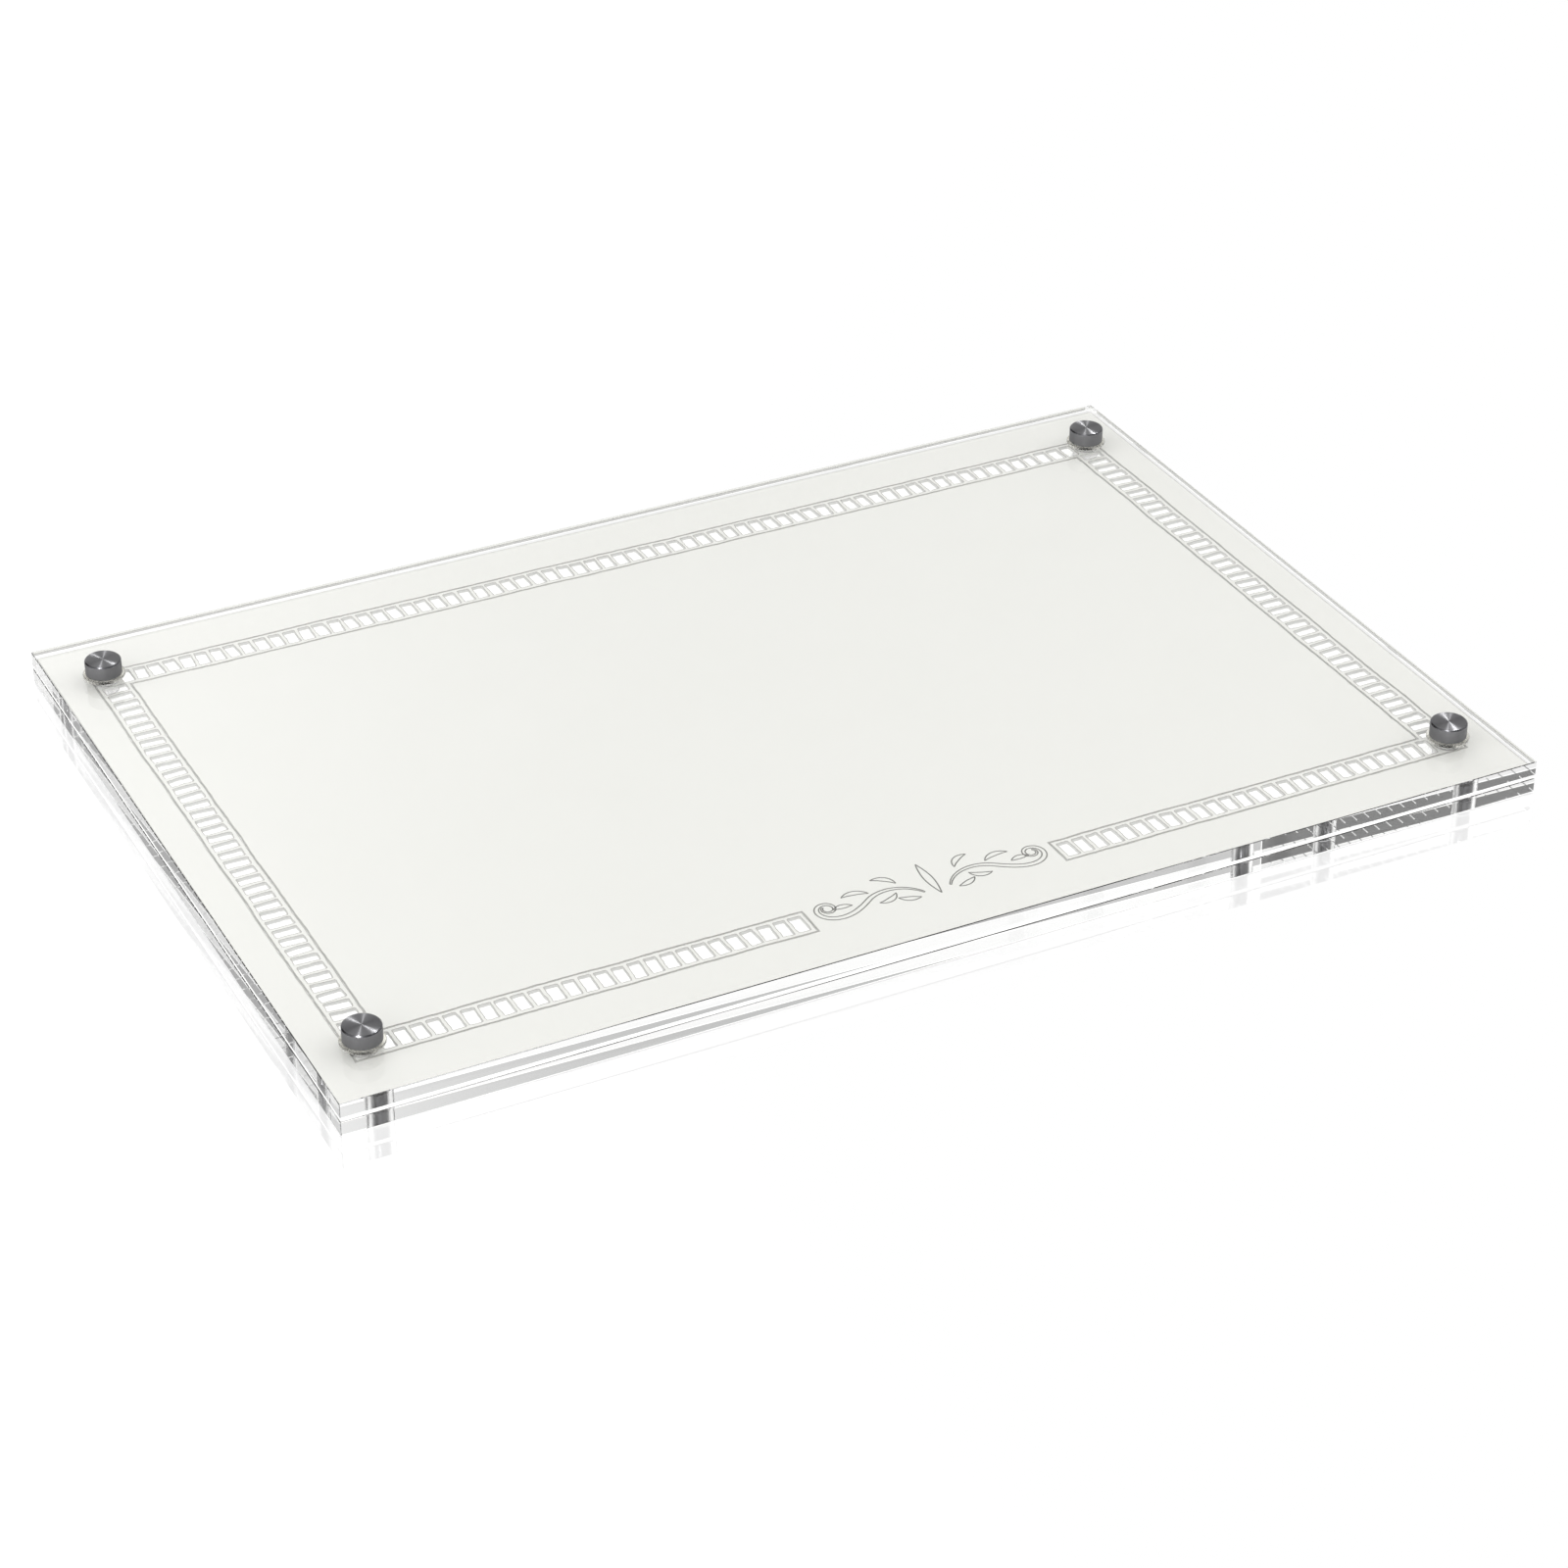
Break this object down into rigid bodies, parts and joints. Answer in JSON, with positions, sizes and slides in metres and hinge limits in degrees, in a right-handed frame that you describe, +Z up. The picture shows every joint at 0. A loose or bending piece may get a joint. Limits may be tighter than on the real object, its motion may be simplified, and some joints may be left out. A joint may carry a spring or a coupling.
{
  "type": "display tray",
  "caption": "Flat tray of two clear acrylic slabs clamping a white leatherette sheet with a cut ladder border, held by dark cap screws at the corners.",
  "frame": {"origin": "middle of the bottom slab's underside, where the tray stands on the table", "axes": "+X along the long side to the right, +Y from the front, where the ladder border is open, to the back, +Z up"},
  "size_m": [0.4064, 0.2794, 0.0172],
  "materials": {
    "clear_acrylic": "clear cast acrylic, polished faces and edges",
    "leatherette": "white leatherette with a fine grain",
    "cap_metal": "gunmetal anodised, turned top",
    "sleeve_metal": "dark anodised, plain turned",
    "stud_steel": "blackened threaded steel",
    "washer_plastic": "clear moulded plastic"
  },
  "bodies": {
    "tray": {"top_slab": "clear_acrylic", "bottom_slab": "clear_acrylic", "leatherette_panel": "leatherette", "ladder_strip": "leatherette", "front_left_sleeve": "sleeve_metal", "front_right_sleeve": "sleeve_metal", "back_left_sleeve": "sleeve_metal", "back_right_sleeve": "sleeve_metal"},
    "front_left_lift": {"front_left_washer": "washer_plastic"},
    "front_left_screw": {"front_left_cap": "cap_metal", "front_left_stud": "stud_steel"},
    "front_right_lift": {"front_right_washer": "washer_plastic"},
    "front_right_screw": {"front_right_cap": "cap_metal", "front_right_stud": "stud_steel"},
    "back_left_lift": {"back_left_washer": "washer_plastic"},
    "back_left_screw": {"back_left_cap": "cap_metal", "back_left_stud": "stud_steel"},
    "back_right_lift": {"back_right_washer": "washer_plastic"},
    "back_right_screw": {"back_right_cap": "cap_metal", "back_right_stud": "stud_steel"}
  },
  "joints": [
    {"name": "front_left_rise", "type": "slide", "parent": "tray", "child": "front_left_lift", "axis": [0, 0, 1], "range_m": [0, 0.0088]},
    {"name": "front_left_turn", "type": "hinge", "parent": "front_left_lift", "child": "front_left_screw", "pos_m": [-0.1862, -0.1147, 0.0112], "axis": [0, 0, 1], "range_deg": [0, 3960]},
    {"name": "front_right_rise", "type": "slide", "parent": "tray", "child": "front_right_lift", "axis": [0, 0, 1], "range_m": [0, 0.0088]},
    {"name": "front_right_turn", "type": "hinge", "parent": "front_right_lift", "child": "front_right_screw", "pos_m": [0.1862, -0.1147, 0.0112], "axis": [0, 0, 1], "range_deg": [0, 3960]},
    {"name": "back_left_rise", "type": "slide", "parent": "tray", "child": "back_left_lift", "axis": [0, 0, 1], "range_m": [0, 0.0088]},
    {"name": "back_left_turn", "type": "hinge", "parent": "back_left_lift", "child": "back_left_screw", "pos_m": [-0.1862, 0.1147, 0.0112], "axis": [0, 0, 1], "range_deg": [0, 3960]},
    {"name": "back_right_rise", "type": "slide", "parent": "tray", "child": "back_right_lift", "axis": [0, 0, 1], "range_m": [0, 0.0088]},
    {"name": "back_right_turn", "type": "hinge", "parent": "back_right_lift", "child": "back_right_screw", "pos_m": [0.1862, 0.1147, 0.0112], "axis": [0, 0, 1], "range_deg": [0, 3960]}
  ],
  "couplings": [
    {"joint": "front_left_turn", "follows": "front_left_rise", "rad_per_m": 7854},
    {"joint": "front_right_turn", "follows": "front_right_rise", "rad_per_m": 7854},
    {"joint": "back_left_turn", "follows": "back_left_rise", "rad_per_m": 7854},
    {"joint": "back_right_turn", "follows": "back_right_rise", "rad_per_m": 7854}
  ]
}
